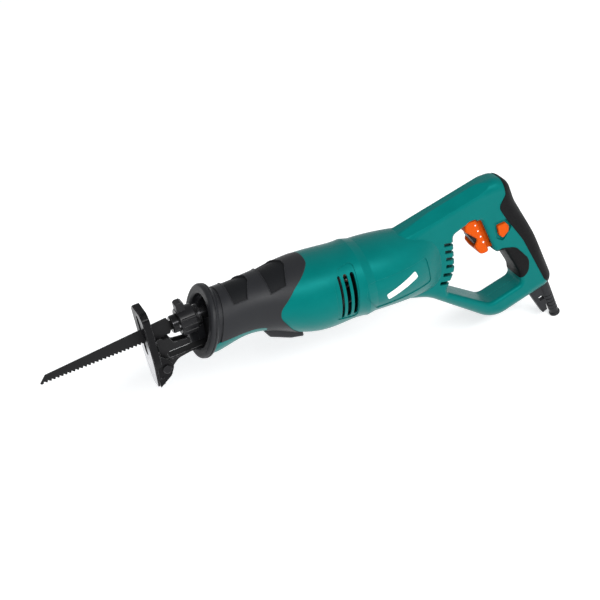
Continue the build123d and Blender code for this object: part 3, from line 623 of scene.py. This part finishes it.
def add_springs():
    """The trigger's and the lock button's return springs, as real coils."""
    low, high = (Vector(corner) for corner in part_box("lock_button_spring"))
    middle = (low + high) / 2
    seat = Vector((middle.x, low.y, middle.z))
    top = Vector((middle.x, high.y, middle.z))
    spring = coil_piece("lock_button_coil", "lock_button_spring", seat, top, wire=0.0002, turns=3)
    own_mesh(spring)
    low, high = (Vector(corner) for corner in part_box("trigger_spring"))
    middle = (low + high) / 2
    half = TRIGGER_TRAVEL * (TRIGGER_SPRING_LENGTH / 2)
    seat = middle + half
    spring = coil_piece("trigger_coil", "trigger_spring", middle - half, seat, wire=0.00035, turns=7)
    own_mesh(spring)


# ------------------------------------------------------------------ marks laid on the surfaces
def surface_of(node):
    """A search tree of one CAD node's faces."""
    mesh = nodes[node].data
    points = [vertex.co.copy() for vertex in mesh.vertices]
    return BVHTree.FromPolygons(points, [list(face.vertices) for face in mesh.polygons])


def rounded_bar(centre, length, height, tilt, corner, steps=6):
    """The outline of a bar with round corners in a side view, as x and z."""
    points = []
    for k in range(4):
        sign_x = (1, -1, -1, 1)[k]
        sign_z = (1, 1, -1, -1)[k]
        for i in range(steps + 1):
            angle = (k + i / steps) * pi / 2
            x = sign_x * (length / 2 - corner) + corner * cos(angle)
            z = sign_z * (height / 2 - corner) + corner * sin(angle)
            turned_x = x * cos(tilt) - z * sin(tilt)
            turned_z = x * sin(tilt) + z * cos(tilt)
            points.append((centre[0] + turned_x, centre[1] + turned_z))
    return points


def plaque(name, body, slot, surface, outline, side, lift, rings=5):
    """A thin raised mark that follows a side surface, with a soft rim and no open edge."""
    middle = (sum(p[0] for p in outline) / len(outline), sum(p[1] for p in outline) / len(outline))
    count = len(outline)
    verts, faces = [], []

    def lay(x, z, proud):
        hit, normal = surface.ray_cast(Vector((x, side * RAY_START, z)), Vector((0, -side, 0)))[:2]
        verts.append(hit + normal * proud)

    for ring, scale in enumerate([1.0, 1.0, RIM_SCALE] + [1 - k / rings for k in range(1, rings)]):
        proud = (-RIM_DEPTH, lift * RIM_RISE, lift)[min(ring, 2)]
        for x, z in outline:
            lay(middle[0] + (x - middle[0]) * scale, middle[1] + (z - middle[1]) * scale, proud)
    lay(*middle, lift)
    centre = len(verts) - 1
    ring_count = centre // count
    for ring in range(ring_count - 1):
        for k in range(count):
            a, b = ring * count + k, ring * count + (k + 1) % count
            faces.append((a, b, b + count, a + count))
    last = (ring_count - 1) * count
    faces.extend((last + k, last + (k + 1) % count, centre) for k in range(count))
    faces.append(tuple(reversed(range(count))))
    if side > 0:
        faces = [tuple(reversed(face)) for face in faces]
    return new_piece(name, body, slot, verts, faces)


def add_boot_beads():
    """The raised rubber bead round each of the boot's sunk panels."""
    boot = surface_of("front_boot")
    for index, (front, rear, reach) in enumerate(BOOT_PANELS):
        front, rear, reach = front + BEAD_R, rear - BEAD_R, reach + BEAD_R
        point_x, point_half = rear - PANEL_POINT, PANEL_POINT_HALF + BEAD_R
        corners = [(front, -reach), (rear, -reach), (point_x, -point_half), (point_x, point_half),
                   (rear, reach), (front, reach)]
        path = []
        for x, y in divided(corners, 0.0025):
            hit, normal = boot.ray_cast(Vector((x, y, RAY_START)), Vector((0, 0, -1)))[:2]
            path.append(hit + normal * BEAD_R * BEAD_PROUD)
        verts, faces = sweep(path, BEAD_R, loop=True)
        new_piece(f"boot_bead_{index + 1}", "saw", "black_rubber", verts, faces)


def add_badges():
    """A plain pale bar on each side of the barrel."""
    for side, label in ((1, "left"), (-1, "right")):
        shell = surface_of(f"{label}_housing_shell")
        bar = rounded_bar(BADGE_CENTRE, BADGE_LENGTH, BADGE_HEIGHT, BADGE_TILT, BADGE_CORNER)
        bar = divided(bar, 0.002)
        piece = plaque(f"{label}_badge", "saw", "teal_plastic", shell, bar, side, BADGE_LIFT)
        piece.data.materials[0] = finishes["pale_print"]


def add_scale_dots():
    """The dots of the speed scale, growing along each side of the trigger."""
    trigger = surface_of("trigger")
    for side, label in ((1, "left"), (-1, "right")):
        for k in range(SCALE_DOTS):
            share = k / (SCALE_DOTS - 1)
            x = SCALE_TOP[0] + (SCALE_END[0] - SCALE_TOP[0]) * share
            z = SCALE_TOP[1] + (SCALE_END[1] - SCALE_TOP[1]) * share
            size = DOT_SIZE + DOT_GROWTH * share
            dot = rounded_bar((x, z), size, size, 0, size * 0.499)
            name = f"{label}_scale_dot_{k + 1}"
            piece = plaque(name, "trigger_body", "orange_plastic", trigger, dot, side, DOT_LIFT, 2)
            piece.data.materials[0] = finishes["pale_print"]


add_camera()
add_world()
for light in LIGHTS:
    add_light(*light)
add_floor()
dress_nodes()
add_springs()
add_boot_beads()
add_badges()
add_scale_dots()
